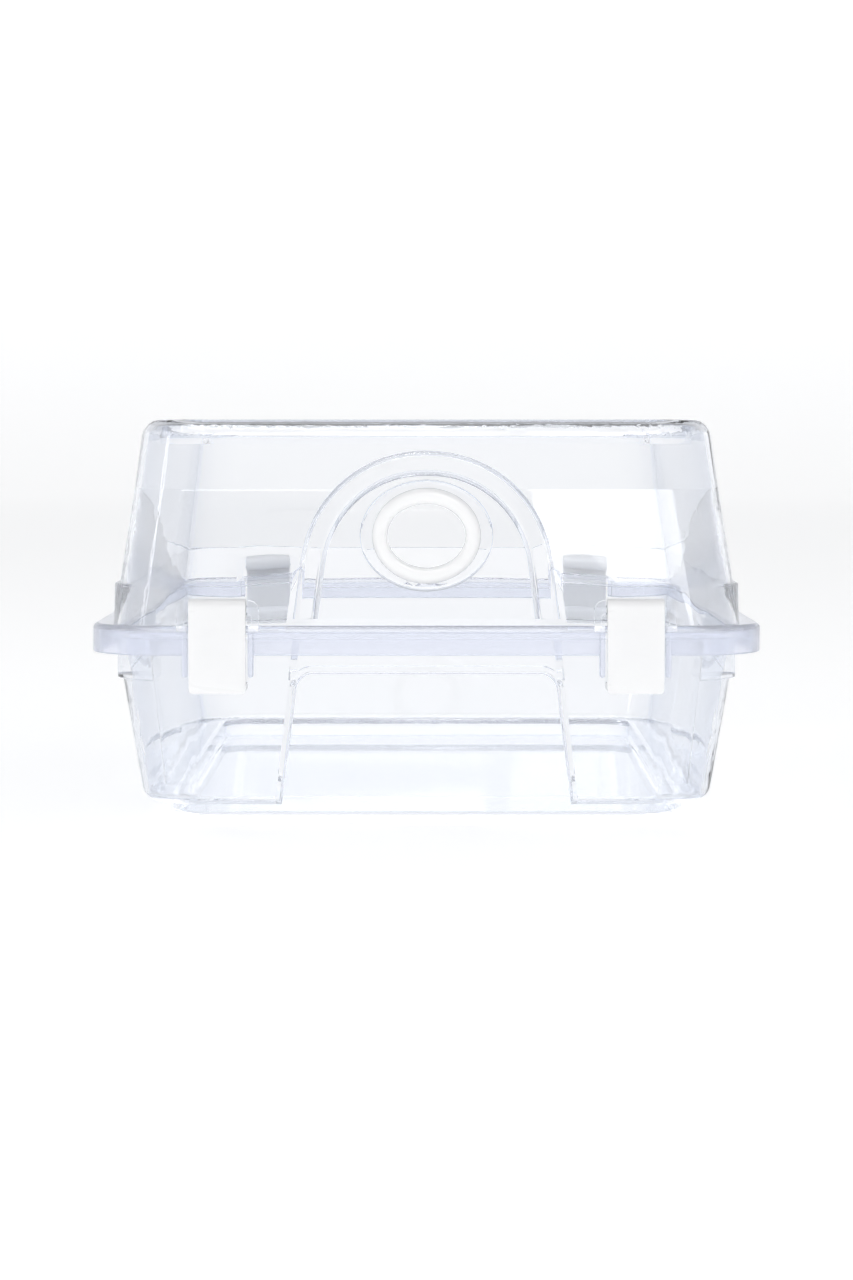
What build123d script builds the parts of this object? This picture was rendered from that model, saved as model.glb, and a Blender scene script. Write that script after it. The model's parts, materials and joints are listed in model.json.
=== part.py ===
"""Clear plastic shoe box: a tapered tub, a domed hood lid on a rear hinge and two front latches.

Millimetres, +Z up, front towards -Y.  The origin is under the middle of the box, on the
surface it stands on.  Every piece is a separate solid in its own STEP file.
"""

from build123d import *
from math import cos, radians, sin, tan
import os

# ---------------------------------------------------------------- overall sizes
rim_width = 230.0  # lid band, side to side
rim_depth = 330.0  # lid band, front to back
band_corner_radius = 24.0

# ---------------------------------------------------------------- tub
tub_wall = 2.4
tub_rim_top = 68.1  # height of the rim that the lid rests on
rim_thickness = 2.4
rim_edge_radius = 0.7
rim_overhang = 8.0  # from the tub's collar out to the band's outer face
collar_height = 17.0  # collar round the corners, and the catches that the latches hook under
collar_side_step = 1.5  # how far the collar stands out from the wall below it
collar_end_step = 2.7  # the same at the front and the rear
collar_edge_radius = 0.6
collar_corner_radius = 19.0
wall_corner_radius = 20.5
side_draft = 8.5  # degrees
end_draft = 10.0  # degrees, front and rear walls
foot_height = 7.0
tub_bottom_radius = 6.0
foot_radius = 2.0
panel_relief = 1.0  # the front panel lies back from the corner columns
panel_top_half_width = 94.5
panel_bottom_half_width = 90.0
panel_step_half_width = 79.0
panel_step_height = 14.5

# ---------------------------------------------------------------- grip recess in the tub's front
grip_top_half_width = 45.0
grip_bottom_half_width = 51.0
grip_top_height = 52.9
grip_setback = 22.0  # back of the recess, from the band's front face
grip_neck_setback = 14.5  # shallower part above the ledge
grip_corner_radius = 6.0
grip_edge_radius = 1.2

# ---------------------------------------------------------------- lid band and hood
lid_wall = 2.0
rest_gap = 0.3  # under the lid's plate, at rest
band_height = 10.0
skirt_clearance = 0.5  # skirt to the tub's rim
band_edge_radius = 1.8
band_foot_radius = 0.6
hood_side_setback = 7.2  # hood foot from the band's side
hood_front_setback = 3.0
hood_rear_setback = 7.2
hood_draft = 8.0  # degrees, sides and rear
front_lean = 14.5  # degrees, front face up to the crease
crease_height = 45.8  # above the band
upper_front_lean = 4.0  # degrees, above the crease
hood_height = 69.6  # lid top above the band
hood_corner_radius = 20.0
top_edge_radius = 6.5
hood_collar_height = 13.5  # upright collar round the hood's foot
collar_front_inset = 1.3  # keeps the collar's front inside the sloping wall

# ---------------------------------------------------------------- stacking recess in the lid's top
lip_width = 7.5
nest_depth = 6.5
nest_clearance = 0.7  # around the foot of a box stacked on top
lip_edge_radius = 1.2
recess_corner_radius = 14.5

# ---------------------------------------------------------------- arched niche in the hood's front
arch_half_width = 45.6
arch_height = 59.0  # crown above the band
arch_side_lean = 7.5  # degrees
arch_shoulder_radius = 42.0
niche_setback = 7.0  # arch face at its foot, from the band's front face
niche_lean = 2.0  # degrees
niche_floor = 2.0  # above the band
arch_depth = 24.0  # how far the arch reaches back into the hood
bead_width = 8.5
bead_height = 2.6
bead_edge_radius = 2.4

# ---------------------------------------------------------------- vent hole and its white ring
vent_height = 30.3  # centre above the band
vent_width = 26.5  # open hole
vent_tall = 21.5
ring_width = 37.0
ring_tall = 32.6
ring_thickness = 3.0
ring_edge_radius = 1.3
sleeve_wall = 1.6
sleeve_clearance = 0.15
sleeve_lip = 0.9  # snap lip behind the wall
sleeve_lip_length = 1.6
boss_width = 45.5
boss_tall = 38.0
boss_height = 2.2
boss_edge_radius = 1.6

# ---------------------------------------------------------------- latches, loops and hinge clips
latch_spacing = 141.0  # centre to centre
latch_width = 19.2
latch_plate = 2.2
latch_edge_radius = 0.7
latch_corner_radius = 1.5
bar_radius = 1.6
bar_clearance = 0.1  # running fit round a bar
bar_height = 5.4  # bar centre above the band
hook_engagement = 1.5  # under the tub's collar
hook_gap = 0.3
hook_thickness = 3.1
clip_open_angle = 50.0  # degrees, where the curl round a bar stops
loop_top_height = 8.7  # above the band
loop_shoulder_height = 4.6
loop_shoulder_gap = 0.4  # latch to the shoulder that carries the bar
loop_arm_gap = 1.9  # latch to the upright below the shoulder
loop_arm_width = 2.4
loop_depth = 3.6
loop_corner_radius = 3.6
loop_inner_radius = 1.2
cheek_gap = 0.6  # latch to the cheek beside it, in the skirt's gap
cheek_width = 1.9
cheek_drop = 17.3  # front cheeks, below the band's top
cheek_end_radius = 0.9
catch_side_gap = 1.0  # latch's side to the catch's side, behind the latch
hinge_bar_height = 53.0
hinge_lug_width = 2.6
hinge_lug_gap = 0.5
hinge_lug_radius = 3.2

# ---------------------------------------------------------------- levels and faces that follow
band_top = tub_rim_top + rest_gap + lid_wall
band_bottom = band_top - band_height
lid_top = band_top + hood_height
crease_level = band_top + crease_height
collar_bottom = tub_rim_top - collar_height
front_face = -rim_depth / 2
rear_face = rim_depth / 2
collar_half_width = rim_width / 2 - rim_overhang
collar_half_depth = rim_depth / 2 - rim_overhang
wall_half_width = collar_half_width - collar_side_step
wall_half_depth = collar_half_depth - collar_end_step
flange_bottom = tub_rim_top - rim_thickness

bar_level = band_top + bar_height
curl_inner = bar_radius + bar_clearance
curl_outer = curl_inner + latch_plate
latch_positions = (-latch_spacing / 2, latch_spacing / 2)
cheek_half_width = latch_width / 2 + cheek_gap + cheek_width
catch_width = latch_width - 2 * catch_side_gap
rim_inset = lid_wall + skirt_clearance
recess_back = front_face + grip_setback - tub_wall  # inside the front wall, short of the recess's back
lug_offset = latch_width / 2 + hinge_lug_gap + hinge_lug_width / 2
lug_reach = rear_face - collar_half_depth + tub_wall / 2
hook_top = collar_bottom - hook_gap
hook_bottom = hook_top - hook_thickness
hook_end = -collar_half_depth + hook_engagement
latch_front = front_face - curl_outer
sleeve_width = vent_width + 2 * sleeve_wall
sleeve_tall = vent_tall + 2 * sleeve_wall
sleeve_length = boss_height + lid_wall + sleeve_clearance + sleeve_lip_length
hole_width = sleeve_width + 2 * sleeve_clearance
hole_tall = sleeve_tall + 2 * sleeve_clearance


def tub_half_width(height):
    """Outer half width of the drafted tub wall at a height."""
    return wall_half_width - (collar_bottom - height) * tan(radians(side_draft))


def tub_half_depth(height):
    """Outer half depth of the drafted tub wall at a height."""
    return wall_half_depth - (collar_bottom - height) * tan(radians(end_draft))


def hood_half_width(height):
    """Outer half width of the hood at a height above the ground."""
    return rim_width / 2 - hood_side_setback - (height - band_top) * tan(radians(hood_draft))


def hood_front(height):
    """Y of the hood's outer front face: one slope to the crease, a steeper one above it."""
    lower = min(height, crease_level) - band_top
    upper = max(height, crease_level) - crease_level
    lean_back = lower * tan(radians(front_lean)) + upper * tan(radians(upper_front_lean))
    return front_face + hood_front_setback + lean_back


def hood_rear(height):
    """Y of the hood's outer rear face."""
    return rear_face - hood_rear_setback - (height - band_top) * tan(radians(hood_draft))


def level(height, half_width, front, rear, radius):
    """A rounded rectangle at one height, as a section for a loft."""
    with BuildSketch(Plane.XY.offset(height)) as outline:
        with Locations((0, (front + rear) / 2)):
            RectangleRounded(2 * half_width, rear - front, radius)
    return outline.sketch


def hood_level(height, inset):
    """The hood's section at a height, drawn in by a wall."""
    return level(
        height,
        hood_half_width(height) - inset,
        hood_front(height) + inset,
        hood_rear(height) - inset,
        hood_corner_radius - inset,
    )


def tub_level(height, inset):
    """The tub's section at a height, drawn in by a wall."""
    half_depth = tub_half_depth(height) - inset
    return level(height, tub_half_width(height) - inset, -half_depth, half_depth, wall_corner_radius - inset)


# The stacking recess takes the foot of the next box, so both come from the lid's top.
recess_half_width = hood_half_width(lid_top) - lip_width
recess_half_depth = -hood_front(lid_top) - lip_width
foot_half_width = recess_half_width - nest_clearance
foot_half_depth = recess_half_depth - nest_clearance
recess_floor = lid_top - nest_depth

# The arch is drawn on its own face, x to the right and y up the face from the band's top.
arch_face = Plane(
    origin=(0, front_face + niche_setback, band_top),
    x_dir=(1, 0, 0),
    z_dir=(0, -cos(radians(niche_lean)), sin(radians(niche_lean))),
)


def arch_outline(plane, margin, foot):
    """The arch on a plane: leaning sides, rounded shoulders, grown by a margin."""
    height = arch_height + margin
    top_half_width = arch_half_width + margin - height * tan(radians(arch_side_lean))
    foot_half_width = arch_half_width + margin - foot * tan(radians(arch_side_lean))
    with BuildSketch(plane) as outline:
        with BuildLine():
            Polyline(
                (-foot_half_width, foot),
                (foot_half_width, foot),
                (top_half_width, height),
                (-top_half_width, height),
                close=True,
            )
        make_face()
        shoulders = outline.vertices().group_by(Axis.Y)[-1]
        fillet(shoulders, arch_shoulder_radius + margin)
    return outline.sketch


# ---------------------------------------------------------------- shapes cut from the tub
# The front panel lies back between the corner columns, with stepped lower corners.  Behind
# each latch a piece of the collar stays as the catch for its hook.
with BuildPart() as panel_cut:
    with BuildSketch(Plane.XZ.offset(-front_face)):
        with BuildLine():
            Polyline(
                (-panel_top_half_width, flange_bottom),
                (panel_top_half_width, flange_bottom),
                (panel_bottom_half_width, panel_step_height),
                (panel_step_half_width, panel_step_height),
                (panel_step_half_width, 0),
                (-panel_step_half_width, 0),
                (-panel_step_half_width, panel_step_height),
                (-panel_bottom_half_width, panel_step_height),
                close=True,
            )
        make_face()
        with Locations([(latch_x, (collar_bottom + flange_bottom) / 2) for latch_x in latch_positions]):
            Rectangle(catch_width, flange_bottom - collar_bottom, mode=Mode.SUBTRACT)
    extrude(amount=front_face / 2)
    loft(
        [tub_level(0, panel_relief), tub_level(flange_bottom, panel_relief)],
        ruled=True,
        mode=Mode.SUBTRACT,
    )


def grip_prism(margin, setback, top, bottom_half_width, bottom):
    """Solid that fills one part of the grip recess, grown by a margin, from the front."""
    slope = (grip_bottom_half_width - grip_top_half_width) / (grip_top_height - foot_height)
    top_half_width = bottom_half_width + margin - slope * (top - bottom)
    with BuildPart() as prism:
        with BuildSketch(Plane.XZ.offset(-front_face)) as shape:
            with BuildLine():
                Polyline(
                    (-bottom_half_width - margin, bottom),
                    (bottom_half_width + margin, bottom),
                    (top_half_width, top + margin),
                    (-top_half_width, top + margin),
                    close=True,
                )
            make_face()
            fillet(shape.vertices().group_by(Axis.Y)[-1], grip_corner_radius + margin)
        extrude(amount=-setback - margin)
    return prism.part


# ---------------------------------------------------------------- tub
# Inside: the foot's well, then one drafted space up through the rim, less the grip's walls.
with BuildPart() as tub_cavity:
    with BuildSketch(Plane.XY.offset(tub_wall)):
        RectangleRounded(
            2 * (foot_half_width - tub_wall),
            2 * (foot_half_depth - tub_wall),
            recess_corner_radius - tub_wall,
        )
    extrude(amount=foot_height + tub_wall)
    fillet(tub_cavity.faces().sort_by(Axis.Z)[0].edges(), foot_radius)
    loft([tub_level(foot_height + tub_wall, tub_wall), tub_level(band_top, tub_wall)], ruled=True)
    add(grip_prism(tub_wall, grip_setback, grip_top_height, grip_bottom_half_width, 0), mode=Mode.SUBTRACT)
    add(
        grip_prism(tub_wall, grip_neck_setback, band_top, grip_top_half_width, collar_bottom),
        mode=Mode.SUBTRACT,
    )

with BuildPart() as collar:
    with BuildSketch(Plane.XY.offset(collar_bottom)):
        RectangleRounded(2 * collar_half_width, 2 * collar_half_depth, collar_corner_radius)
    extrude(amount=collar_height)
    fillet(collar.faces().sort_by(Axis.Z)[0].edges(), collar_edge_radius)

with BuildPart() as flange:
    with BuildSketch(Plane.XY.offset(flange_bottom)):
        RectangleRounded(
            rim_width - 2 * rim_inset,
            rim_depth - 2 * rim_inset,
            band_corner_radius - rim_inset,
        )
    extrude(amount=rim_thickness)
    fillet(flange.edges().group_by(Axis.Z)[-1], rim_edge_radius)
    fillet(flange.edges().group_by(Axis.Z)[0], rim_edge_radius)

with BuildPart() as tub:
    loft([tub_level(foot_height, 0), tub_level(collar_bottom, 0)], ruled=True)
    fillet(tub.faces().sort_by(Axis.Z)[0].edges(), tub_bottom_radius)
    add(collar.part)
    add(panel_cut.part, mode=Mode.SUBTRACT)
    with BuildSketch():
        RectangleRounded(2 * foot_half_width, 2 * foot_half_depth, recess_corner_radius)
    extrude(amount=foot_height + tub_wall)
    fillet(tub.faces().sort_by(Axis.Z)[0].edges(), foot_radius)
    add(grip_prism(0, grip_setback, grip_top_height, grip_bottom_half_width, 0), mode=Mode.SUBTRACT)
    add(
        grip_prism(0, grip_neck_setback, band_top, grip_top_half_width, collar_bottom),
        mode=Mode.SUBTRACT,
    )
    # soft edges where the recess opens in the front wall, and along its ledge
    opening_edges = [
        edge
        for edge in tub.edges()
        if edge.center().Y < recess_back
        and abs(edge.center().X) < grip_bottom_half_width
        and edge.center().Z < flange_bottom
        and edge.length > (grip_top_height - foot_height) / 2
    ]
    fillet(opening_edges, grip_edge_radius)
    add(flange.part)
    add(tub_cavity.part, mode=Mode.SUBTRACT)
    # rear lugs and the bars that the hinge clips turn on
    for clip_x in latch_positions:
        for lug_x in (clip_x - lug_offset, clip_x + lug_offset):
            with BuildSketch(Plane.YZ.offset(lug_x)):
                with Locations((rear_face, hinge_bar_height)):
                    Circle(hinge_lug_radius)
                with Locations((rear_face - lug_reach / 2, hinge_bar_height)):
                    Rectangle(lug_reach, 2 * hinge_lug_radius)
            extrude(amount=hinge_lug_width / 2, both=True)
        with BuildSketch(Plane.YZ.offset(clip_x)):
            with Locations((rear_face, hinge_bar_height)):
                Circle(bar_radius)
        extrude(amount=lug_offset, both=True)

tub.part.label = "tub"

# ---------------------------------------------------------------- pieces of the lid
# Band: a flat plate with a skirt that wraps the tub's rim.
with BuildPart() as band:
    with BuildSketch(Plane.XY.offset(band_bottom)):
        RectangleRounded(rim_width, rim_depth, band_corner_radius)
    extrude(amount=band_height)
    fillet(band.edges().group_by(Axis.Z)[-1], band_edge_radius)
    fillet(band.edges().group_by(Axis.Z)[0], band_foot_radius)
    with BuildSketch(Plane.XY.offset(band_bottom)):
        RectangleRounded(
            rim_width - 2 * lid_wall,
            rim_depth - 2 * lid_wall,
            band_corner_radius - lid_wall,
        )
    extrude(amount=band_height - lid_wall, mode=Mode.SUBTRACT)

# Collar round the hood's foot: upright at the sides and the rear, and inside the front wall.
with BuildPart() as hood_collar:
    collar_levels = []
    for collar_level in (band_top, band_top + hood_collar_height):
        collar_levels.append(
            level(
                collar_level,
                hood_half_width(band_top),
                hood_front(collar_level) + collar_front_inset,
                hood_rear(band_top),
                hood_corner_radius,
            )
        )
    loft(collar_levels, ruled=True)
    fillet(hood_collar.edges().group_by(Axis.Z)[-1], collar_edge_radius)

# Niche bead: the rounded rib that follows the arch.
arch_axis = Axis(arch_face.origin, arch_face.z_dir)
with BuildPart() as bead:
    extrude(arch_outline(arch_face, 0, 0), amount=bead_height)
    extrude(arch_outline(arch_face, -bead_width, 0), amount=bead_height, mode=Mode.SUBTRACT)
    fillet(bead.faces().sort_by(arch_axis)[-1].edges(), bead_edge_radius)


def oval(plane, width, height):
    """An upright oval about the vent hole's centre."""
    with BuildSketch(plane) as outline:
        with Locations((0, vent_height)):
            Ellipse(width / 2, height / 2)
    return outline.sketch


# Boss: the raised oval pad that the vent ring sits on.
with BuildPart() as boss:
    extrude(oval(arch_face, boss_width, boss_tall), amount=boss_height)
    fillet(boss.faces().sort_by(arch_axis)[-1].edges(), boss_edge_radius)

# Inside of the hood: the hood's shape less a wall, round the niche and under the top recess.
inner_arch_face = arch_face.offset(-lid_wall)
with BuildPart() as hood_cavity:
    loft(
        [
            hood_level(band_bottom, lid_wall),
            hood_level(crease_level, lid_wall),
            hood_level(lid_top - lid_wall, lid_wall),
        ],
        ruled=True,
    )
    fillet(hood_cavity.faces().sort_by(Axis.Z)[-1].edges(), top_edge_radius - lid_wall)
    extrude(
        arch_outline(inner_arch_face, lid_wall, -band_height),
        amount=niche_setback + lid_wall,
        mode=Mode.SUBTRACT,
    )
    extrude(arch_outline(inner_arch_face, -lid_wall, niche_floor), amount=-arch_depth)
    with BuildSketch(Plane.XY.offset(recess_floor - lid_wall)):
        RectangleRounded(
            2 * (recess_half_width + lid_wall),
            2 * (recess_half_depth + lid_wall),
            recess_corner_radius + lid_wall,
        )
    extrude(amount=nest_depth + lid_wall, mode=Mode.SUBTRACT)


def latch_loop(x, side):
    """The loop at x on the front (side -1) or the rear (side 1): two arms with a bar between."""
    loop_y = side * (rim_depth / 2 - lid_wall + loop_depth / 2)
    arm_inside = latch_width / 2 + loop_arm_gap
    arm_outside = arm_inside + loop_arm_width
    shoulder_inside = latch_width / 2 + loop_shoulder_gap
    loop_top = band_top + loop_top_height
    shoulder_bottom = loop_top - loop_shoulder_height
    arm_foot = band_top - lid_wall
    with BuildPart() as loop:
        with BuildSketch(Plane.XZ.offset(-loop_y)) as arms:
            for hand in (-1, 1):
                with BuildLine():
                    Polyline(
                        (x + hand * arm_inside, arm_foot),
                        (x + hand * arm_outside, arm_foot),
                        (x + hand * arm_outside, loop_top),
                        (x + hand * shoulder_inside, loop_top),
                        (x + hand * shoulder_inside, shoulder_bottom),
                        (x + hand * arm_inside, shoulder_bottom),
                        close=True,
                    )
                make_face()
            outer_corners = arms.vertices().group_by(Axis.Y)[-1].group_by(Axis.X)
            fillet(outer_corners[0] + outer_corners[-1], loop_corner_radius)
            inner_corners = arms.vertices().filter_by_position(Axis.Y, shoulder_bottom, shoulder_bottom)
            inner_corners = inner_corners.group_by(Axis.X)
            fillet(inner_corners[0] + inner_corners[-1], loop_inner_radius)
        extrude(amount=loop_depth / 2, both=True)
        with BuildSketch(Plane.YZ.offset(x)):
            with Locations((side * rim_depth / 2, bar_level)):
                Circle(bar_radius)
        extrude(amount=shoulder_inside, both=True)
    return loop.part


def cheeks(x, side, foot):
    """The two upright cheeks beside a latch or clip, in the skirt's gap, down to a foot."""
    cheek_y = side * (rim_depth / 2 - lid_wall + loop_depth / 2)
    offset = cheek_half_width - cheek_width / 2
    with BuildPart() as pair:
        with BuildSketch(Plane.XY.offset(foot)):
            with Locations((x - offset, cheek_y), (x + offset, cheek_y)):
                Rectangle(cheek_width, loop_depth)
        extrude(amount=band_top - foot)
        fillet(pair.faces().group_by(Axis.Z)[0].edges().filter_by(Axis.Y), cheek_end_radius)
        fillet(pair.edges().filter_by(Axis.Z), cheek_width / 4)
    return pair.part


def latch_window(x, side):
    """Gap in the skirt between one latch's cheeks."""
    with BuildPart() as window:
        with BuildSketch(Plane.XY.offset(band_bottom)):
            with Locations((x, side * rim_depth / 2)):
                Rectangle(latch_width + 2 * cheek_gap, 2 * lid_wall)
        extrude(amount=band_height - lid_wall)
    return window.part


# ---------------------------------------------------------------- lid
with BuildPart() as lid:
    loft([hood_level(band_top, 0), hood_level(crease_level, 0), hood_level(lid_top, 0)], ruled=True)
    fillet(lid.faces().sort_by(Axis.Z)[-1].edges(), top_edge_radius)
    add(hood_collar.part)
    # the arch stands proud of the sloping front at its top and is sunk into it at its foot
    extrude(arch_outline(arch_face, 0, 0), amount=-arch_depth)
    extrude(
        arch_outline(arch_face, 0, niche_floor),
        amount=niche_setback + rim_overhang,
        mode=Mode.SUBTRACT,
    )
    # recess that takes the foot of a box stacked on top
    with BuildSketch(Plane.XY.offset(recess_floor)):
        RectangleRounded(2 * recess_half_width, 2 * recess_half_depth, recess_corner_radius)
    extrude(amount=nest_depth, mode=Mode.SUBTRACT)
    fillet(lid.faces().sort_by(Axis.Z)[-1].inner_wires()[0].edges(), lip_edge_radius)
    add(band.part)
    add(hood_cavity.part, mode=Mode.SUBTRACT)
    add(bead.part)
    add(boss.part)
    extrude(oval(arch_face, hole_width, hole_tall), amount=arch_depth, both=True, mode=Mode.SUBTRACT)
    for latch_x in latch_positions:
        for side, cheek_foot in ((-1, band_top - cheek_drop), (1, band_bottom)):
            add(latch_window(latch_x, side), mode=Mode.SUBTRACT)
            add(latch_loop(latch_x, side))
            add(cheeks(latch_x, side, cheek_foot))

lid.part.label = "lid"

# ---------------------------------------------------------------- vent ring
boss_face = arch_face.offset(boss_height)
with BuildPart() as vent_ring:
    extrude(oval(boss_face, ring_width, ring_tall), amount=ring_thickness)
    extrude(oval(boss_face, sleeve_width, sleeve_tall), amount=-sleeve_length)
    # snap lip that holds the ring from behind
    extrude(
        oval(boss_face.offset(-sleeve_length), sleeve_width + 2 * sleeve_lip, sleeve_tall + 2 * sleeve_lip),
        amount=sleeve_lip_length,
    )
    extrude(oval(boss_face, vent_width, vent_tall), amount=sleeve_length, both=True, mode=Mode.SUBTRACT)
    fillet(vent_ring.faces().sort_by(arch_axis)[-1].edges(), ring_edge_radius)

vent_ring.part.label = "vent_ring"


# ---------------------------------------------------------------- latches and hinge clips
def curl(side, bar_y, bar_z, opens_up):
    """Outline of one curl: a ring round a bar, open towards the box."""
    away = 1 if opens_up else -1
    mouth = radians(clip_open_angle)
    mouth_y = bar_y - side * 2 * curl_outer * cos(mouth)
    with BuildSketch(Plane.YZ) as outline:
        with Locations((bar_y, bar_z)):
            Circle(curl_outer)
            Circle(curl_inner, mode=Mode.SUBTRACT)
        with BuildLine():
            Polyline(
                (bar_y, bar_z),
                (mouth_y, bar_z + away * 2 * curl_outer * sin(mouth)),
                (mouth_y, bar_z + away * 3 * curl_outer),
                (bar_y + side * curl_inner, bar_z + away * 3 * curl_outer),
                (bar_y + side * curl_inner, bar_z),
                close=True,
            )
        make_face(mode=Mode.SUBTRACT)
    return outline.sketch


def clip_plate(side, bar_y, low, high):
    """Outline of the flat plate that a curl runs into."""
    with BuildSketch(Plane.YZ) as outline:
        with Locations((bar_y + side * (curl_inner + curl_outer) / 2, (low + high) / 2)):
            Rectangle(latch_plate, high - low)
    return outline.sketch


# A front latch hangs on its loop's bar and hooks under the catch on the tub's front.
latches = {}
for latch_name, latch_x in zip(("front_left_latch", "front_right_latch"), latch_positions):
    with BuildPart() as latch:
        extrude(curl(-1, front_face, bar_level, False), amount=latch_width / 2, both=True)
        extrude(clip_plate(-1, front_face, hook_bottom, bar_level), amount=latch_width / 2, both=True)
        with BuildSketch(Plane.YZ):
            with Locations(((latch_front + hook_end) / 2, (hook_top + hook_bottom) / 2)):
                Rectangle(hook_end - latch_front, hook_thickness)
        extrude(amount=latch_width / 2, both=True)
        fillet(latch.edges().filter_by(Axis.Y).group_by(Axis.Z)[0], latch_corner_radius)
        fillet(latch.edges().filter_by(Axis.Z).group_by(Axis.Y)[0], latch_edge_radius)
    placed = Pos(latch_x, 0, 0) * latch.part
    placed.label = latch_name
    latches[latch_name] = placed

# A rear clip holds the lid's bar and turns on the tub's bar.
clips = {}
for clip_name, clip_x in zip(("rear_left_hinge_clip", "rear_right_hinge_clip"), latch_positions):
    with BuildPart() as clip:
        extrude(curl(1, rear_face, bar_level, False), amount=latch_width / 2, both=True)
        extrude(curl(1, rear_face, hinge_bar_height, True), amount=latch_width / 2, both=True)
        extrude(clip_plate(1, rear_face, hinge_bar_height, bar_level), amount=latch_width / 2, both=True)
        fillet(clip.edges().filter_by(Axis.Z).group_by(Axis.Y)[-1], latch_edge_radius)
    placed = Pos(clip_x, 0, 0) * clip.part
    placed.label = clip_name
    clips[clip_name] = placed

# ---------------------------------------------------------------- STEP files
os.makedirs("parts", exist_ok=True)
export_step(tub.part, "parts/tub.step")
export_step(lid.part, "parts/lid.step")
export_step(vent_ring.part, "parts/vent_ring.step")
for piece_name, piece in {**latches, **clips}.items():
    export_step(piece, f"parts/{piece_name}.step")
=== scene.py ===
# %% [markdown]
# # A clear plastic shoe box
# The real box is injection moulded in clear plastic, in two big pieces: a tapered tub and a
# domed hood lid.  A white oval ring lines a vent hole in the hood's arched front.  White latches
# and hinge clips snap onto bars at the front and the rear.  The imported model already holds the
# true sizes and the moving bodies, so this lesson loads it first and never moves it.

import bpy
import json
from math import atan2, cos, degrees, pi, radians, sin
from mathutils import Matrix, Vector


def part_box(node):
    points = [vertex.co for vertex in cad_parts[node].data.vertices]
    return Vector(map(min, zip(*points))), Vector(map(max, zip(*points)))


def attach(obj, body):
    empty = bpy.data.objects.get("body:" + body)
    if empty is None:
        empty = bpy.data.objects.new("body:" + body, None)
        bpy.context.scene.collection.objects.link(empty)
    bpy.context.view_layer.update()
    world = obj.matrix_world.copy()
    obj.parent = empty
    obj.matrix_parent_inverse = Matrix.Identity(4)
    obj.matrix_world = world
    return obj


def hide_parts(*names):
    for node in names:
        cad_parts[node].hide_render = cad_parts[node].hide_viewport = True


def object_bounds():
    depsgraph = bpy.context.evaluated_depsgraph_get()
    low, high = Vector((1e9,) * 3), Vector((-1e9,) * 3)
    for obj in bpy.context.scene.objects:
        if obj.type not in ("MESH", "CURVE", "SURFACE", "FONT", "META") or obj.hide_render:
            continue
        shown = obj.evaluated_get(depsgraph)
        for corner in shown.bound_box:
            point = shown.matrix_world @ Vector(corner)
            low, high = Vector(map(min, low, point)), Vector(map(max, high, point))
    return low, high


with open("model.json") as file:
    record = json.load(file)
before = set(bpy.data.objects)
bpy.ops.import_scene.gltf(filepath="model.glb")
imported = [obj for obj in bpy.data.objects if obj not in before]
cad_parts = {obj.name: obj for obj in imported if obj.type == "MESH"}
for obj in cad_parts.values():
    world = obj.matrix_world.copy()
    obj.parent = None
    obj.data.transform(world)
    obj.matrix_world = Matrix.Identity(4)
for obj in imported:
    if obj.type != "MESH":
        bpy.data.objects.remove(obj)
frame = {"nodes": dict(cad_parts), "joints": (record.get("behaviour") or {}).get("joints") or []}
cad_low, cad_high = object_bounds()
joint_places = {joint["name"]: joint["pos_m"] for joint in frame["joints"]}
print("nodes:", sorted(frame["nodes"]))
print("CAD box:", cad_low, cad_high)

# %% [markdown]
# ## The camera
# The box is looked at from straight in front, with the eye level with the top of the lid and a
# bit over a metre away, so the lid's top shows as a line and the tub is seen slightly from
# above.  A long lens from there keeps the calm perspective of a product picture.

# %% Camera
eye_distance = 1.017
eye_height = 0.139
target_height = 0.066

camera_data = bpy.data.cameras.new("camera")
camera_data.sensor_fit = "HORIZONTAL"
camera_data.sensor_width = 36.0
camera_data.lens = 128.0
camera = bpy.data.objects.new("camera", camera_data)
bpy.context.scene.collection.objects.link(camera)
tilt = atan2(eye_height - target_height, eye_distance)
camera.location = (0.0, cad_low[1] - eye_distance, eye_height)
camera.rotation_euler = (pi / 2 - tilt, 0.0, 0.0)
bpy.context.scene.camera = camera
print("camera tilt in degrees:", round(degrees(tilt), 2))

# %% [markdown]
# ## Selecting by place
# Modelling by hand means picking a face or an edge and then telling Blender what to do with it.
# In a script the picking is done by place or by direction.  An operator acts on everything that
# is selected, and a new shape starts out selected all over, so each step first lets go of all.

# %% Helpers for picking
def let_go():
    """Leave edit mode and select nothing."""
    if bpy.context.object is not None and bpy.context.object.mode != "OBJECT":
        bpy.ops.object.mode_set(mode="OBJECT")
    bpy.ops.object.select_all(action="DESELECT")


def take(piece):
    """Make one piece the only selected and active object."""
    let_go()
    piece.select_set(True)
    bpy.context.view_layer.objects.active = piece


def pick(piece, kind, wanted):
    """In edit mode, select the faces or edges whose middle and direction pass a test."""
    take(piece)
    mesh = piece.data
    bpy.ops.object.mode_set(mode="EDIT")
    bpy.ops.mesh.select_mode(type=kind)
    bpy.ops.mesh.select_all(action="DESELECT")
    bpy.ops.object.mode_set(mode="OBJECT")
    if kind == "FACE":
        for face in mesh.polygons:
            face.select = wanted(face.center, face.normal)
    else:
        for edge in mesh.edges:
            start, end = (mesh.vertices[corner].co for corner in edge.vertices)
            edge.select = wanted((start + end) / 2, (end - start).normalized())
    bpy.ops.object.mode_set(mode="EDIT")


def close_to(value, target, reach=1e-5):
    """True if two lengths agree to a hundredth of a millimetre."""
    return abs(value - target) < reach


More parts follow.
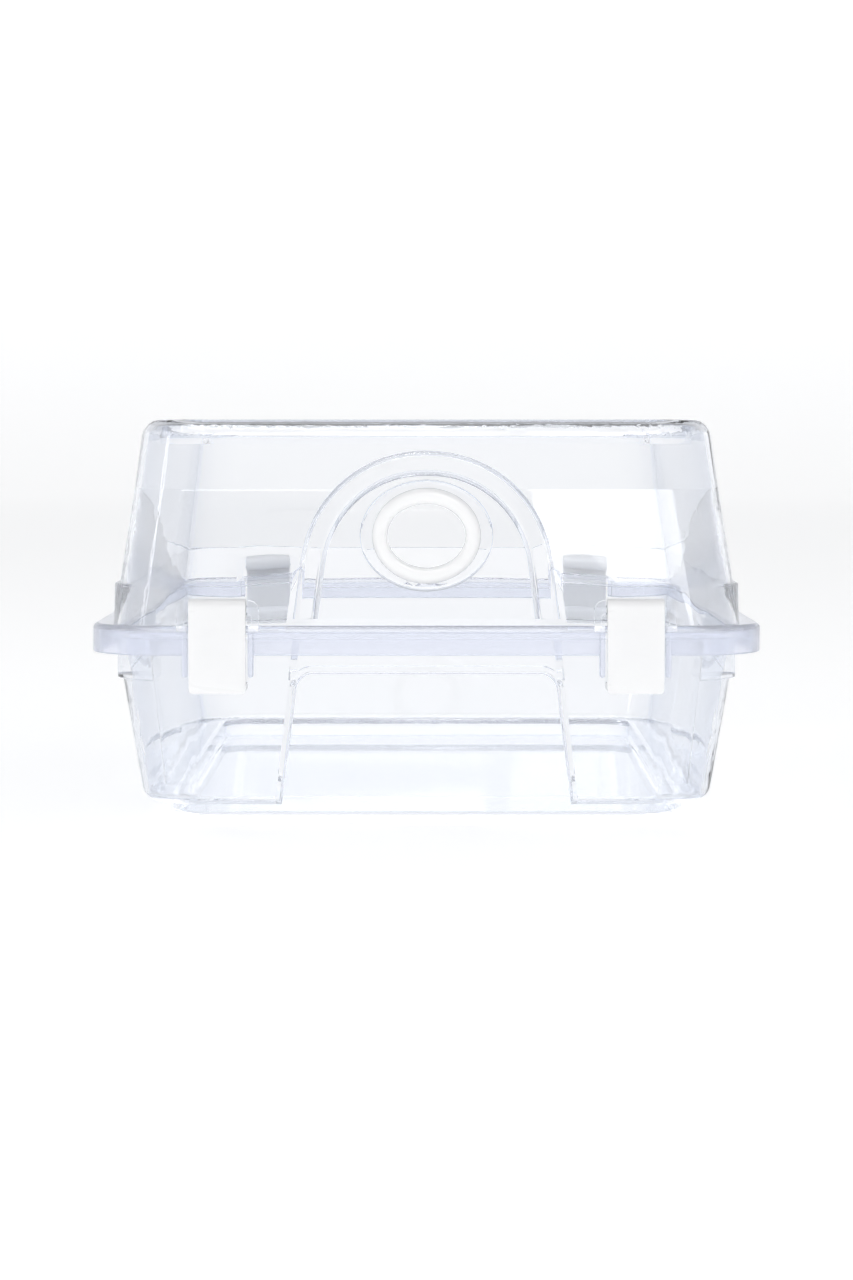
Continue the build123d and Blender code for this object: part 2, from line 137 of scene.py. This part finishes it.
def soften(piece, width, segments, angle=35):
    """Round every sharp edge a little, as a mould does, and shade the piece smooth."""
    take(piece)
    bevel = piece.modifiers.new("soft edges", "BEVEL")
    bevel.width = width
    bevel.segments = segments
    bevel.limit_method = "ANGLE"
    bevel.angle_limit = radians(angle)
    bpy.ops.object.modifier_apply(modifier=bevel.name)
    shade(piece)


def shade(piece, crease_height=None):
    """Smooth shading that keeps flat faces flat, and one level crease crisp if a height is given."""
    take(piece)
    bpy.ops.object.shade_smooth_by_angle(angle=radians(35))
    if crease_height is not None:
        pick(
            piece,
            "EDGE",
            lambda middle, along: close_to(middle.z, crease_height, 2e-5) and abs(along.z) < 0.01,
        )
        bpy.ops.mesh.mark_sharp()
        take(piece)
    even = piece.modifiers.new("even shading", "WEIGHTED_NORMAL")
    even.keep_sharp = True
    bpy.ops.object.modifier_apply(modifier=even.name)


def tell(piece):
    """Print a piece's size in millimetres and whether its skin is closed."""
    used = {}
    for face in piece.data.polygons:
        for key in face.edge_keys:
            used[key] = used.get(key, 0) + 1
    open_edges = sum(1 for count in used.values() if count != 2)
    size = [round(1000 * side, 2) for side in piece.dimensions]
    print(piece.name, "size", size, "faces", len(piece.data.polygons), "open edges", open_edges)


# %% [markdown]
# ## The studio
# A clear thing has almost no colour of its own: its picture is made by what surrounds it.  So
# the box stands in a round white cove, a floor that curves up into a wall with no corner.  The
# cove is bright, the open top above it is greyer, and that difference is what draws thin grey
# lines along every bend of the plastic.  The cove is a disc whose rim is extruded outwards and
# upwards in small steps, which is the quickest way to a smooth curve.

# %% The cove
cove_radius = 4.5
cove_bend = 1.5
cove_steps = 10

let_go()
bpy.ops.mesh.primitive_circle_add(vertices=96, radius=cove_radius, fill_type="NGON")
cove = bpy.context.object
cove.name = "white_cove"
pick(cove, "EDGE", lambda middle, along: True)
reached = cove_radius
for step in range(1, cove_steps + 1):
    turn = pi / 2 * step / cove_steps
    before = pi / 2 * (step - 1) / cove_steps
    rim = cove_radius + cove_bend * sin(turn)
    rise = cove_bend * (cos(before) - cos(turn))
    bpy.ops.mesh.extrude_edges_move(TRANSFORM_OT_translate={"value": (0, 0, rise)})
    bpy.ops.transform.resize(value=(rim / reached, rim / reached, 1), center_override=(0, 0, 0))
    reached = rim
let_go()
take(cove)
bpy.ops.object.shade_smooth()
print("cove faces:", len(cove.data.polygons), "radius:", reached)

# %% [markdown]
# ## A surface for the cove
# The cove gives off a little light of its own, like a lit acrylic sweep, and reflects the rest.
# The share that it reflects is what lets a soft shadow gather under the box.

# %% Cove surface
def new_material(name):
    """A fresh material and its Principled shader."""
    material = bpy.data.materials.new(name)
    material.use_nodes = True
    return material, material.node_tree.nodes["Principled BSDF"]


cove_paint, cove_shader = new_material("white cove paint")
cove_shader.inputs["Base Color"].default_value = (0.9, 0.9, 0.9, 1.0)
cove_shader.inputs["Roughness"].default_value = 0.9
cove_shader.inputs["Emission Color"].default_value = (1.0, 1.0, 1.0, 1.0)
cove_shader.inputs["Emission Strength"].default_value = 0.41
cove.data.materials.append(cove_paint)

# %% [markdown]
# ## Light
# The open top is brighter near the horizon than overhead.  Four softboxes add to it: the one on
# the right is a window whose mirror image shows as a white rectangle in the hood, two are thin
# strips that draw fine lines of light, and the last lifts the front.

# %% Light from the open top and four softboxes
world = bpy.data.worlds.new("open top")
bpy.context.scene.world = world
world.use_nodes = True
sky = world.node_tree
sky.nodes["Background"].inputs["Color"].default_value = (0.97, 0.98, 1.0, 1.0)
direction = sky.nodes.new("ShaderNodeTexCoord")
height_part = sky.nodes.new("ShaderNodeSeparateXYZ")
fade = sky.nodes.new("ShaderNodeMapRange")
fade.interpolation_type = "SMOOTHSTEP"
for title, value in (("From Min", 0.2), ("From Max", 0.95), ("To Min", 0.95), ("To Max", 0.28)):
    fade.inputs[title].default_value = value
sky.links.new(direction.outputs["Generated"], height_part.inputs[0])
sky.links.new(height_part.outputs["Z"], fade.inputs["Value"])
sky.links.new(fade.outputs["Result"], sky.nodes["Background"].inputs["Strength"])


def softbox(name, place, target, size, power):
    """A rectangular area light at a place, aimed at a target, hidden from the camera itself."""
    data = bpy.data.lights.new(name, "AREA")
    data.shape = "RECTANGLE"
    data.size, data.size_y = size
    data.energy = power
    light = bpy.data.objects.new(name, data)
    bpy.context.scene.collection.objects.link(light)
    light.location = place
    toward = [end - start for end, start in zip(target, place)]
    flat = (toward[0] ** 2 + toward[1] ** 2) ** 0.5
    light.rotation_euler = (atan2(flat, -toward[2]), 0.0, atan2(toward[1], toward[0]) - pi / 2)
    light.visible_camera = False
    return light


softbox("window on the right", (0.315, -1.25, 0.866), (0.315, 0.0, 0.866), (0.47, 0.50), 2.2)
softbox("overhead", (-0.25, -0.2, 1.9), (0.0, 0.0, 0.0), (1.0, 0.1), 2.6)
softbox("left fill", (-1.6, -0.9, 0.9), (0.0, 0.0, 0.1), (0.12, 1.0), 2.0)
softbox("front fill", (-0.35, -2.3, 1.5), (0.0, 0.0, 0.08), (0.9, 0.35), 4.5)
print("softboxes:", sorted(light.name for light in bpy.data.lights))

# %% [markdown]
# Light crosses a wall of clear plastic twice on the way in and twice on the way out, and the
# box has two walls and more behind them, so rays are allowed more bounces than usual.  The plain
# view transform keeps the white of the cove white.

# %% Picture settings
scene = bpy.context.scene
scene.view_settings.view_transform = "Standard"
scene.cycles.max_bounces = 96
scene.cycles.transmission_bounces = 96
scene.cycles.glossy_bounces = 96
scene.cycles.transparent_max_bounces = 28
print("light bounces:", scene.cycles.max_bounces)

# %% [markdown]
# ## Effects that several plastics share
# An effect used by more than one plastic is built once as a node group, with named inputs and
# outputs, and then placed in each material with its own values.
#
# The first is the gentle waviness of a moulded wall.  A mould is polished by hand and the
# plastic shrinks as it cools, so even a clear wall bends reflections a little.

# %% Node group: moulded waviness
def new_group(name, inputs, outputs):
    """An empty shader node group with number inputs and outputs."""
    group = bpy.data.node_groups.new(name, "ShaderNodeTree")
    for title, start in inputs:
        socket = group.interface.new_socket(title, in_out="INPUT", socket_type="NodeSocketFloat")
        socket.default_value = start
    for title in outputs:
        group.interface.new_socket(title, in_out="OUTPUT", socket_type="NodeSocketFloat")
    return group, group.nodes.new("NodeGroupInput"), group.nodes.new("NodeGroupOutput")


def math_node(tree, operation, first, second):
    """A Math node fed by two sockets or numbers, and its output."""
    node = tree.nodes.new("ShaderNodeMath")
    node.operation = operation
    for index, value in enumerate((first, second)):
        if isinstance(value, (int, float)):
            node.inputs[index].default_value = value
        else:
            tree.links.new(value, node.inputs[index])
    return node.outputs[0]


def ramp(tree, value, low, high):
    """Stretch a value from one range to 0..1, and cut off what lies outside."""
    node = tree.nodes.new("ShaderNodeMapRange")
    node.inputs["From Min"].default_value = low
    node.inputs["From Max"].default_value = high
    tree.links.new(value, node.inputs["Value"])
    return node.outputs["Result"]


def noise(tree, place, size, detail=2.0):
    """Noise whose lumps are about so many metres across."""
    node = tree.nodes.new("ShaderNodeTexNoise")
    node.inputs["Scale"].default_value = 1 / size
    node.inputs["Detail"].default_value = detail
    tree.links.new(place, node.inputs["Vector"])
    return node.outputs["Fac"]


waviness, wave_in, wave_out = new_group(
    "moulded waviness", [("Broad", 1.0), ("Fine", 0.25)], ["Height"]
)
wave_place = waviness.nodes.new("ShaderNodeTexCoord").outputs["Object"]
broad = math_node(waviness, "MULTIPLY", noise(waviness, wave_place, 0.045), wave_in.outputs["Broad"])
fine = math_node(waviness, "MULTIPLY", noise(waviness, wave_place, 0.009), wave_in.outputs["Fine"])
waviness.links.new(math_node(waviness, "ADD", broad, fine), wave_out.inputs["Height"])
print("group:", waviness.name)

# %% [markdown]
# The second is what handling leaves: hair-fine rubs that all run roughly one way, in patches,
# and a few soft smudges.  Thin rubs come from noise that is stretched very long one way.

# %% Node group: handling marks
marks, marks_in, marks_out = new_group(
    "handling marks", [("Rubs", 1.0), ("Smudges", 0.5)], ["Mask"]
)
mark_place = marks.nodes.new("ShaderNodeTexCoord").outputs["Object"]
long_rubs = []
for turn, stretch in ((25, (30.0, 1500.0, 900.0)), (-50, (24.0, 900.0, 1600.0))):
    mapping = marks.nodes.new("ShaderNodeMapping")
    mapping.inputs["Rotation"].default_value = (radians(turn), radians(turn), radians(turn))
    mapping.inputs["Scale"].default_value = stretch
    marks.links.new(mark_place, mapping.inputs["Vector"])
    long_rubs.append(ramp(marks, noise(marks, mapping.outputs["Vector"], 1.0, 1.0), 0.68, 0.74))
patches = ramp(marks, noise(marks, mark_place, 0.06), 0.46, 0.66)
rubs = math_node(marks, "MAXIMUM", long_rubs[0], long_rubs[1])
rubs = math_node(marks, "MULTIPLY", rubs, patches)
rubs = math_node(marks, "MULTIPLY", rubs, marks_in.outputs["Rubs"])
smudges = ramp(marks, noise(marks, mark_place, 0.028, 4.0), 0.56, 0.8)
smudges = math_node(marks, "MULTIPLY", smudges, marks_in.outputs["Smudges"])
marks.links.new(math_node(marks, "ADD", rubs, smudges), marks_out.inputs["Mask"])
print("group:", marks.name)

# %% [markdown]
# The third finds the outer edges of a piece, where fingers and the mould polish the plastic.
# There it makes the plastic glossier, and in white plastic it also lightens the colour: a painted
# highlight.  Pointiness is high where a surface bends outwards, and the ramp keeps only that.

# %% Node group: polished edges and painted edge highlight
edges, edges_in, edges_out = new_group("polished edges", [("Amount", 1.0)], ["Mask"])
pointed = edges.nodes.new("ShaderNodeNewGeometry").outputs["Pointiness"]
outer = math_node(edges, "MULTIPLY", ramp(edges, pointed, 0.51, 0.6), edges_in.outputs["Amount"])
edges.links.new(outer, edges_out.inputs["Mask"])
print("group:", edges.name)

# %% [markdown]
# ## Clear plastic
# Clear plastic is like glass with a low index, faintly cool.  Where the wall is seen edge-on,
# light has travelled a long way inside it, so the tint is stronger there: Layer Weight gives
# that.  The last step lets lamp light through without bending it, so that the box does not
# throw the black shadow of a solid thing.

# %% Clear plastic
def add_group(material, group, **values):
    """Place a node group in a material with its own values."""
    node = material.node_tree.nodes.new("ShaderNodeGroup")
    node.node_tree = group
    for title, value in values.items():
        node.inputs[title].default_value = value
    return node


def colour_mix(tree, factor, first, second):
    """A colour that goes from the first to the second as the factor rises."""
    node = tree.nodes.new("ShaderNodeMix")
    node.data_type = "RGBA"
    tree.links.new(factor, node.inputs["Factor"])
    for title, value in (("A", first), ("B", second)):
        socket = [s for s in node.inputs if s.name == title and s.type == "RGBA"][0]
        if isinstance(value, tuple):
            socket.default_value = (*value, 1.0)
        else:
            tree.links.new(value, socket)
    return [s for s in node.outputs if s.type == "RGBA"][0]


def add_bump(tree, height, distance, shader):
    """Turn a height into a slight bend of the surface."""
    bump = tree.nodes.new("ShaderNodeBump")
    bump.inputs["Strength"].default_value = 1.0
    bump.inputs["Distance"].default_value = distance
    tree.links.new(height, bump.inputs["Height"])
    tree.links.new(bump.outputs["Normal"], shader.inputs["Normal"])


def clear_plastic(name, face_tint, edge_tint, clearness, gloss, wave):
    """Clear plastic: face and edge-on tint, share of light let through, roughness, waviness."""
    material, shader = new_material(name)
    tree = material.node_tree
    shader.inputs["IOR"].default_value = 1.49
    shader.inputs["Transmission Weight"].default_value = clearness
    edge_on = tree.nodes.new("ShaderNodeLayerWeight")
    edge_on.inputs["Blend"].default_value = 0.28
    marks_here = add_group(material, marks, Rubs=0.55, Smudges=0.3)
    tinted = colour_mix(tree, edge_on.outputs["Facing"], face_tint, edge_tint)
    dulled = math_node(tree, "MULTIPLY", marks_here.outputs["Mask"], 0.25)
    tree.links.new(colour_mix(tree, dulled, tinted, (0.86, 0.88, 0.92)), shader.inputs["Base Color"])
    rough = math_node(tree, "MULTIPLY", marks_here.outputs["Mask"], 0.10)
    tree.links.new(math_node(tree, "ADD", rough, gloss), shader.inputs["Roughness"])
    waves = add_group(material, waviness, Broad=1.0, Fine=0.12)
    add_bump(tree, waves.outputs["Height"], wave, shader)
    light_path = tree.nodes.new("ShaderNodeLightPath")
    see_through = tree.nodes.new("ShaderNodeBsdfTransparent")
    see_through.inputs["Color"].default_value = (0.975, 0.98, 0.985, 1.0)
    blend = tree.nodes.new("ShaderNodeMixShader")
    tree.links.new(light_path.outputs["Is Shadow Ray"], blend.inputs[0])
    tree.links.new(shader.outputs[0], blend.inputs[1])
    tree.links.new(see_through.outputs[0], blend.inputs[2])
    tree.links.new(blend.outputs[0], tree.nodes["Material Output"].inputs["Surface"])
    return material


lid_plastic = clear_plastic(
    "clear lid plastic", (0.975, 0.98, 0.99), (0.52, 0.57, 0.68), 1.0, 0.015, 0.000006
)
tub_plastic = clear_plastic(
    "clear tub plastic", (0.97, 0.977, 0.99), (0.50, 0.56, 0.69), 1.0, 0.02, 0.00001
)
print("plastics:", lid_plastic.name, tub_plastic.name)

# %% [markdown]
# ## The milky band
# The band round the lid's foot, the loops and the cheeks are thicker and less polished than the
# walls, so they look milky and faintly violet.  They are the same plastic, a little rougher and
# with some of the light scattered inside it.  The upright collar above the band is a step
# between the two: light runs a long way along it, and a trace of haze keeps it from going black.

# %% Milky band plastic
collar_plastic = clear_plastic(
    "hazy collar plastic", (0.97, 0.975, 0.99), (0.80, 0.83, 0.90), 0.85, 0.22, 0.00001
)
band_plastic = clear_plastic(
    "milky band plastic", (0.90, 0.92, 1.0), (0.74, 0.78, 0.90), 0.80, 0.16, 0.00006
)
print("plastics:", collar_plastic.name, band_plastic.name)

# %% [markdown]
# ## White plastic
# The latches and clips are white and satin, the vent ring is white and glossy.  Light sinks a
# few millimetres into both, which softens their shading.  Both show a grain too fine to see
# except as softness in the highlights, glossier outer edges with a painted highlight that
# lightens their colour, and a few rubs.

# %% White plastic
def white_plastic(name, colour, gloss, grain, coat):
    """White moulded plastic: colour, roughness, depth of its grain in metres, share of gloss coat."""
    material, shader = new_material(name)
    tree = material.node_tree
    shader.inputs["IOR"].default_value = 1.5
    shader.inputs["Coat Weight"].default_value = coat
    shader.inputs["Coat Roughness"].default_value = 0.05
    shader.inputs["Subsurface Weight"].default_value = 0.5
    shader.inputs["Subsurface Radius"].default_value = (1.0, 1.0, 1.0)
    shader.inputs["Subsurface Scale"].default_value = 0.003
    rubbed = add_group(material, marks, Rubs=0.8, Smudges=0.45)
    polish_and_highlight = add_group(material, edges, Amount=1.0)
    dust = math_node(tree, "MULTIPLY", rubbed.outputs["Mask"], 0.35)
    dusty = colour_mix(tree, dust, colour, (0.74, 0.75, 0.76))
    # Along outer edges the colour goes to a lighter white than the clean plastic. This is a painted
    # highlight, and it also covers the dust there.
    worn_and_highlighted = colour_mix(tree, polish_and_highlight.outputs["Mask"], dusty, (0.95, 0.95, 0.95))
    tree.links.new(worn_and_highlighted, shader.inputs["Base Color"])
    rough = math_node(tree, "MULTIPLY", rubbed.outputs["Mask"], 0.2)
    rough = math_node(tree, "ADD", rough, gloss)
    sheen = math_node(tree, "MULTIPLY", polish_and_highlight.outputs["Mask"], 0.1)
    tree.links.new(math_node(tree, "SUBTRACT", rough, sheen), shader.inputs["Roughness"])
    place = tree.nodes.new("ShaderNodeTexCoord").outputs["Object"]
    pebbles = noise(tree, place, 0.0006, 3.0)
    add_bump(tree, pebbles, grain, shader)
    return material


ring_plastic = white_plastic("glossy white ring plastic", (0.93, 0.93, 0.93), 0.16, 0.00002, 0.35)
latch_plastic = white_plastic("satin white latch plastic", (0.92, 0.92, 0.925), 0.36, 0.00006, 0.0)
print("plastics:", ring_plastic.name, latch_plastic.name)

# %% [markdown]
# ## Tub and lid
# Both shapes are right as they come from the model, so each is copied rather than built again.
# The model's mesh is loose triangles, which would shade badly, so the copy's doubled points are
# merged and its flat faces kept flat.  Each face then takes one of two plastics by its height.

# %% Copies of the tub and the lid
def dressed_copy(node, name, body, crease_height=None):
    """A merged, smooth copy of a CAD node that stands for it and rides on its body."""
    piece = bpy.data.objects.new(name, frame["nodes"][node].data.copy())
    bpy.context.scene.collection.objects.link(piece)
    take(piece)
    bpy.ops.mesh.customdata_custom_splitnormals_clear()
    bpy.ops.object.mode_set(mode="EDIT")
    bpy.ops.mesh.select_all(action="SELECT")
    bpy.ops.mesh.remove_doubles(threshold=0.000001)
    bpy.ops.object.mode_set(mode="OBJECT")
    shade(piece, crease_height)
    piece.data.materials.clear()
    tell(piece)
    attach(piece, body)
    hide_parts(node)
    return piece


tub = dressed_copy("tub", "tub_clear", "tub")
tub.data.materials.append(tub_plastic)

band_top = 0.0704
hood_crease = band_top + 0.0458
lid = dressed_copy("lid", "lid_clear", "lid", hood_crease)
lid.data.materials.append(lid_plastic)
lid.data.materials.append(band_plastic)
lid.data.materials.append(collar_plastic)

# %% Band and collar faces
collar_top = band_top + 0.0135
collar_side = 0.1070
ledge_width = 0.004
ledge_reach = 0.0007
height_slack = 0.0001
band_slot, collar_slot = 1, 2
for face in lid.data.polygons:
    height, outward = face.center.z, abs(face.center.x)
    upright = height < collar_top + height_slack and outward > collar_side
    ledge = close_to(height, collar_top, ledge_reach) and outward > collar_side - ledge_width
    if height < band_top + height_slack:
        face.material_index = band_slot
    elif upright or ledge:
        face.material_index = collar_slot
for title, slot in (("band faces:", band_slot), ("collar faces:", collar_slot)):
    print(title, sum(face.material_index == slot for face in lid.data.polygons))

# %% [markdown]
# ## The vent ring
# The ring is one soft, convex moulding: a broad face that rolls over into the hole, a sleeve
# through the wall and a snap lip behind it.  A lathe would make it round, but it is an oval, so
# an oval loop is extruded again and again, and each new loop is scaled and moved to the next
# place on the section.  Joining the last loop to the first closes it.

# %% Vent ring
ring_low, ring_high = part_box("vent_ring")
ring_lean = radians(2.0)
hole_half_width = 0.01325
hole_half_tall = 0.01075
ring_margin = (ring_high[0] - ring_low[0]) / 2 - hole_half_width
ring_depth = 0.00895
ring_taller = 0.0003  # the face is this much wider above and below the hole than at its sides
crown_proud = 0.00005

# How far each loop stands out from the hole (as a share of the face) and lies behind the crown.
ring_section = [
    (0.0, 0.0070),
    (0.0, 0.0022),
    (0.02, 0.0014),
    (0.07, 0.00075),
    (0.16, 0.0003),
    (0.30, 0.00005),
    (0.46, 0.0),
    (0.62, 0.0001),
    (0.76, 0.0004),
    (0.88, 0.00095),
    (0.96, 0.0016),
    (1.0, 0.0024),
    (1.0, 0.0030),
    (0.30, 0.0030),
    (0.30, 0.00735),
    (0.46, 0.00750),
    (0.46, 0.00845),
    (0.36, ring_depth),
    (0.0, ring_depth),
]

let_go()
bpy.ops.mesh.primitive_circle_add(vertices=128, radius=1.0, fill_type="NOTHING")
ring = bpy.context.object
ring.name = "vent_ring_white"
pick(ring, "EDGE", lambda middle, along: True)
wide, tall, behind = 1.0, 1.0, 0.0
for index, (share, depth) in enumerate(ring_section):
    if index > 0:
        bpy.ops.mesh.extrude_edges_move()
    next_wide = hole_half_width + ring_margin * share
    next_tall = hole_half_tall + (ring_margin + ring_taller) * share
    bpy.ops.transform.resize(value=(next_wide / wide, next_tall / tall, 1), center_override=(0, 0, 0))
    bpy.ops.transform.translate(value=(0, 0, behind - depth))
    wide, tall, behind = next_wide, next_tall, depth

# %% Close the ring and put it in place
first_depth = -ring_section[0][1]
pick(
    ring,
    "EDGE",
    lambda middle, along: middle.xy.length < hole_half_width + 1e-4
    and abs(along.z) < 0.5
    and (close_to(middle.z, first_depth) or close_to(middle.z, -ring_depth))
    and (middle.x / hole_half_width) ** 2 + (middle.y / hole_half_tall) ** 2 < 1.01,
)
bpy.ops.mesh.bridge_edge_loops()
bpy.ops.mesh.select_all(action="SELECT")
bpy.ops.mesh.normals_make_consistent(inside=False)
take(ring)
crown_y = ring_low[1] + (ring_high[2] - ring_low[2]) / 2 * sin(ring_lean) - crown_proud
ring.rotation_euler = (pi / 2 - ring_lean, 0.0, 0.0)
ring.location = (0.0, crown_y, (ring_low[2] + ring_high[2]) / 2)
bpy.ops.object.transform_apply(location=True, rotation=True, scale=True)
shade(ring)
ring.data.materials.append(ring_plastic)
tell(ring)
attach(ring, "lid")
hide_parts("vent_ring")

# %% [markdown]
# ## A front latch
# Each latch is a flat plate whose top curls round a bar and whose foot hooks under the tub.  By
# hand that is a block, a cut across it, the low back face pulled out into the hook, and the top
# face spun round the bar into the curl.  The bar's place is the latch's hinge in the model.

# %% Latch plate and hook
curl_inner = 0.0017
curl_outer = 0.0039
curl_past = radians(50)
curl_steps = 22
hook_thickness = 0.0031


def block(name, low, high):
    """A block between two corners, with its place in its mesh."""
    let_go()
    middle = [(a + b) / 2 for a, b in zip(low, high)]
    bpy.ops.mesh.primitive_cube_add(size=1.0, location=middle)
    piece = bpy.context.object
    piece.name = name
    piece.scale = [b - a for a, b in zip(low, high)]
    bpy.ops.object.transform_apply(location=True, rotation=True, scale=True)
    return piece


latch_low, latch_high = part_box("front_left_latch")
bar_x, bar_y, bar_z = joint_places["left_latch_hinge"]
plate_back = bar_y - curl_inner
hook_top = latch_low[2] + hook_thickness
left_latch = block(
    "left_latch_white",
    (latch_low[0], latch_low[1], latch_low[2]),
    (latch_high[0], plate_back, bar_z),
)
pick(left_latch, "FACE", lambda middle, normal: True)
bpy.ops.mesh.bisect(plane_co=(0, 0, hook_top), plane_no=(0, 0, 1))
pick(left_latch, "FACE", lambda middle, normal: normal.y > 0.9 and middle.z < hook_top)
hook_reach = latch_high[1] - plate_back
bpy.ops.mesh.extrude_region_move(TRANSFORM_OT_translate={"value": (0, hook_reach, 0)})
tell(left_latch)

# %% Curl round the bar
pick(left_latch, "FACE", lambda middle, normal: normal.z > 0.9 and close_to(middle.z, bar_z))
bpy.ops.mesh.spin(
    steps=curl_steps,
    angle=pi + curl_past,
    center=(bar_x, bar_y, bar_z),
    axis=(1, 0, 0),
)
tell(left_latch)

# %% [markdown]
# The real plate has soft lower corners and a faint thumb panel in its face.  The corners are
# bevelled first, while their edges are easy to find, then the panel is inset and pushed in.

# %% Latch corners, thumb panel and soft edges
corner_radius = 0.0015
panel_margin = 0.0052
panel_share = 0.62  # of the height that the margin leaves
panel_slope = 0.00035
panel_sink = 0.00016
latch_softness = 0.00042

pick(
    left_latch,
    "EDGE",
    lambda middle, along: abs(along.y) > 0.9 and close_to(middle.z, latch_low[2]),
)
bpy.ops.mesh.bevel(offset=corner_radius, segments=5, offset_type="OFFSET")
pick(
    left_latch,
    "FACE",
    lambda middle, normal: normal.y < -0.9 and hook_top < middle.z < bar_z,
)
bpy.ops.mesh.inset(thickness=panel_margin)
bpy.ops.transform.resize(value=(1, 1, panel_share))
bpy.ops.mesh.inset(thickness=panel_slope, depth=-panel_sink)
soften(left_latch, latch_softness, 3)
left_latch.data.materials.append(latch_plastic)
tell(left_latch)

# %% [markdown]
# The right latch is the same moulding, so it is a copy with its own mesh, moved across.

# %% Right latch
def copy_across(piece, name, shift):
    """A copy with its own mesh, moved sideways, its place kept in the mesh."""
    take(piece)
    bpy.ops.object.duplicate(linked=False)
    twin = bpy.context.object
    twin.name = name
    bpy.ops.transform.translate(value=(shift, 0, 0))
    bpy.ops.object.transform_apply(location=True, rotation=True, scale=True)
    return twin


latch_step = joint_places["right_latch_hinge"][0] - bar_x
right_latch = copy_across(left_latch, "right_latch_white", latch_step)
for latch, body, node in (
    (left_latch, "left_latch", "front_left_latch"),
    (right_latch, "right_latch", "front_right_latch"),
):
    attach(latch, body)
    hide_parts(node)
print("latches", latch_step, "apart")

# %% [markdown]
# ## A rear hinge clip
# The clip is a short plate with a curl at each end: one holds the lid's bar, the other turns on
# the tub's bar.  It is made as the latch was, with a spin from its top and from its bottom.

# %% Hinge clip
clip_margin = 0.0045
clip_slope = 0.0004
clip_sink = 0.0002
clip_softness = 0.00038

clip_low, clip_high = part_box("rear_left_hinge_clip")
hinge_y, hinge_z = joint_places["lid_hinge"][1:]
clip_bar_z = clip_high[2] - curl_outer
left_clip = block(
    "left_hinge_clip_white",
    (clip_low[0], hinge_y + curl_inner, hinge_z),
    (clip_high[0], clip_high[1], clip_bar_z),
)
for face_z, turn_axis in ((clip_bar_z, (-1, 0, 0)), (hinge_z, (1, 0, 0))):
    pick(
        left_clip,
        "FACE",
        lambda middle, normal: abs(normal.z) > 0.9 and close_to(middle.z, face_z),
    )
    bpy.ops.mesh.spin(
        steps=curl_steps, angle=pi + curl_past, center=(0, hinge_y, face_z), axis=turn_axis
    )
pick(left_clip, "FACE", lambda middle, normal: normal.y > 0.999)
bpy.ops.mesh.inset(thickness=clip_margin)
bpy.ops.mesh.inset(thickness=clip_slope, depth=-clip_sink)
soften(left_clip, clip_softness, 3)
left_clip.data.materials.append(latch_plastic)
tell(left_clip)

right_clip = copy_across(left_clip, "right_hinge_clip_white", latch_step)
for clip, node in ((left_clip, "rear_left_hinge_clip"), (right_clip, "rear_right_hinge_clip")):
    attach(clip, "lid")
    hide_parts(node)
